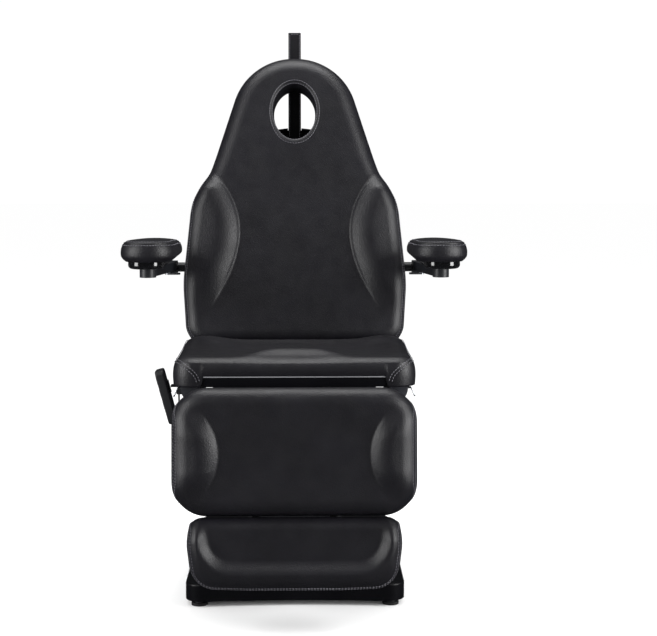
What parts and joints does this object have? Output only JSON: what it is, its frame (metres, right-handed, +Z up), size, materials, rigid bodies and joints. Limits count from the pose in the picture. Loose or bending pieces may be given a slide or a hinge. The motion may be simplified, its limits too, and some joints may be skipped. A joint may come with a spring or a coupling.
{
  "type": "facial treatment bed",
  "caption": "Powered treatment bed in its sitting pose: base, lifting column, seat, reclining back with face hole, leg and foot sections, armrests and wired handset.",
  "frame": {"origin": "centre of the bottom of the bed's box, on the floor, at rest", "axes": "+Z up, the sitter faces -Y, +X to the sitter's left"},
  "size_m": [0.957, 1.0596, 1.5941],
  "materials": {
    "leather": "fine-grain black upholstery leather, semi-gloss",
    "plywood": "birch plywood, unfinished",
    "black_steel": "black powder coat, satin",
    "bare_steel": "ground steel",
    "chrome": "bright chrome plate",
    "trim_aluminium": "natural anodised",
    "gloss_plastic": "gloss black moulding",
    "matte_plastic": "fine-textured black moulding",
    "grey_plastic": "dark grey moulding",
    "key_plastic": "soft-touch grey keys",
    "glide_plastic": "natural acetal",
    "rubber": "matt black rubber"
  },
  "bodies": {
    "base": {"base_cover": "black_steel", "base_plate": "black_steel", "foot_pads": "rubber", "foot_stems": "bare_steel", "column_outer": "black_steel", "column_collar": "matte_plastic", "column_glides": "glide_plastic", "lift_motor": "matte_plastic", "mains_inlet": "matte_plastic"},
    "lift": {"column_inner": "black_steel", "lift_rod": "bare_steel", "column_head": "black_steel", "control_box": "matte_plastic", "seat_rails": "black_steel", "hinge_lugs": "black_steel", "hinge_shafts": "bare_steel", "seat_skirts": "grey_plastic", "seat_board": "plywood", "seat_cushion": "leather", "front_apron": "black_steel", "apron_trim": "trim_aluminium", "side_hooks": "chrome", "handset_hook": "black_steel", "handset_body": "matte_plastic", "cable_gland": "matte_plastic", "cable_relief": "rubber", "handset_cable": "rubber", "back_drive": "matte_plastic", "leg_drive": "matte_plastic"},
    "back": {"back_tube": "black_steel", "back_rails": "black_steel", "back_lever": "black_steel", "back_board": "plywood", "back_cushion": "leather", "back_shell": "matte_plastic", "bar_sleeve": "black_steel", "armrest_tubes": "black_steel"},
    "headrest_post": {"headrest_bar": "leather"},
    "knob": {"clamp_knob": "matte_plastic"},
    "back_drive_rod": {"back_rod": "bare_steel"},
    "leg_drive_rod": {"leg_rod": "bare_steel"},
    "leg": {"leg_tube": "black_steel", "leg_rails": "black_steel", "leg_lever": "black_steel", "leg_board": "plywood", "leg_cushion": "leather"},
    "foot": {"foot_rails": "bare_steel", "foot_board": "plywood", "foot_cushion": "leather"},
    "arm_left": {"arm_bracket_left": "black_steel"},
    "armrest_left": {"arm_pan_left": "gloss_plastic", "arm_cushion_left": "leather"},
    "lock_left": {"arm_lock_left": "trim_aluminium"},
    "arm_right": {"arm_bracket_right": "black_steel"},
    "armrest_right": {"arm_pan_right": "gloss_plastic", "arm_cushion_right": "leather"},
    "lock_right": {"arm_lock_right": "trim_aluminium"},
    "key_1": {"handset_key_1": "key_plastic"},
    "key_2": {"handset_key_2": "key_plastic"},
    "key_3": {"handset_key_3": "key_plastic"}
  },
  "joints": [
    {"name": "column_lift", "type": "slide", "parent": "base", "child": "lift", "axis": [0, 0, 1], "range_m": [-0.045, 0.25]},
    {"name": "back_recline", "type": "hinge", "parent": "lift", "child": "back", "pos_m": [0, 0.13884, 0.655], "axis": [-1, 0, 0], "range_deg": [0, 75]},
    {"name": "leg_raise", "type": "hinge", "parent": "lift", "child": "leg", "pos_m": [0, -0.37616, 0.607], "axis": [-1, 0, 0], "range_deg": [0, 82]},
    {"name": "foot_extension", "type": "slide", "parent": "leg", "child": "foot", "axis": [0, -0.1392, -0.9903], "range_m": [0, 0.1]},
    {"name": "back_rod_travel", "type": "slide", "parent": "lift", "child": "back_drive_rod", "axis": [0, -1, 0], "range_m": [0, 0.14012]},
    {"name": "leg_rod_travel", "type": "slide", "parent": "lift", "child": "leg_drive_rod", "axis": [0, -1, 0], "range_m": [0, 0.09195]},
    {"name": "headrest_height", "type": "slide", "parent": "back", "child": "headrest_post", "axis": [0, 0.2588, 0.9659], "range_m": [-0.06, 0.1]},
    {"name": "clamp_knob_turn", "type": "hinge", "parent": "back", "child": "knob", "pos_m": [0, 0.38107, 1.21126], "axis": [0, 0.9659, -0.2588], "range_deg": [-180, 180]},
    {"name": "armrest_left_tilt", "type": "hinge", "parent": "back", "child": "arm_left", "pos_m": [0.3635, 0.26576, 0.88913], "axis": [-1, 0, 0], "range_deg": [-20, 95]},
    {"name": "armrest_left_swivel", "type": "hinge", "parent": "arm_left", "child": "armrest_left", "pos_m": [0.411, -0.02016, 0.917], "axis": [0, 0, 1], "range_deg": [-20, 20]},
    {"name": "armrest_left_lock", "type": "hinge", "parent": "arm_left", "child": "lock_left", "pos_m": [0.3715, 0.19076, 0.878], "axis": [0, 0, 1], "range_deg": [-35, 0]},
    {"name": "armrest_right_tilt", "type": "hinge", "parent": "back", "child": "arm_right", "pos_m": [-0.3635, 0.26576, 0.88913], "axis": [-1, 0, 0], "range_deg": [-20, 95]},
    {"name": "armrest_right_swivel", "type": "hinge", "parent": "arm_right", "child": "armrest_right", "pos_m": [-0.411, -0.02016, 0.917], "axis": [0, 0, 1], "range_deg": [-20, 20]},
    {"name": "armrest_right_lock", "type": "hinge", "parent": "arm_right", "child": "lock_right", "pos_m": [-0.3715, 0.19076, 0.878], "axis": [0, 0, -1], "range_deg": [-35, 0]},
    {"name": "legs_key_rock", "type": "hinge", "parent": "lift", "child": "key_1", "pos_m": [-0.34954, -0.21016, 0.55623], "axis": [0, 1, 0], "range_deg": [-3, 3], "stiffness_Nm_per_rad": 0.6},
    {"name": "back_key_rock", "type": "hinge", "parent": "lift", "child": "key_2", "pos_m": [-0.35828, -0.21016, 0.58909], "axis": [0, 1, 0], "range_deg": [-3, 3], "stiffness_Nm_per_rad": 0.6},
    {"name": "height_key_rock", "type": "hinge", "parent": "lift", "child": "key_3", "pos_m": [-0.36702, -0.21016, 0.62194], "axis": [0, 1, 0], "range_deg": [-3, 3], "stiffness_Nm_per_rad": 0.6}
  ],
  "couplings": [
    {"joint": "back_rod_travel", "follows": "back_recline", "m_per_rad": 0.10696},
    {"joint": "leg_rod_travel", "follows": "leg_raise", "m_per_rad": 0.064177}
  ]
}
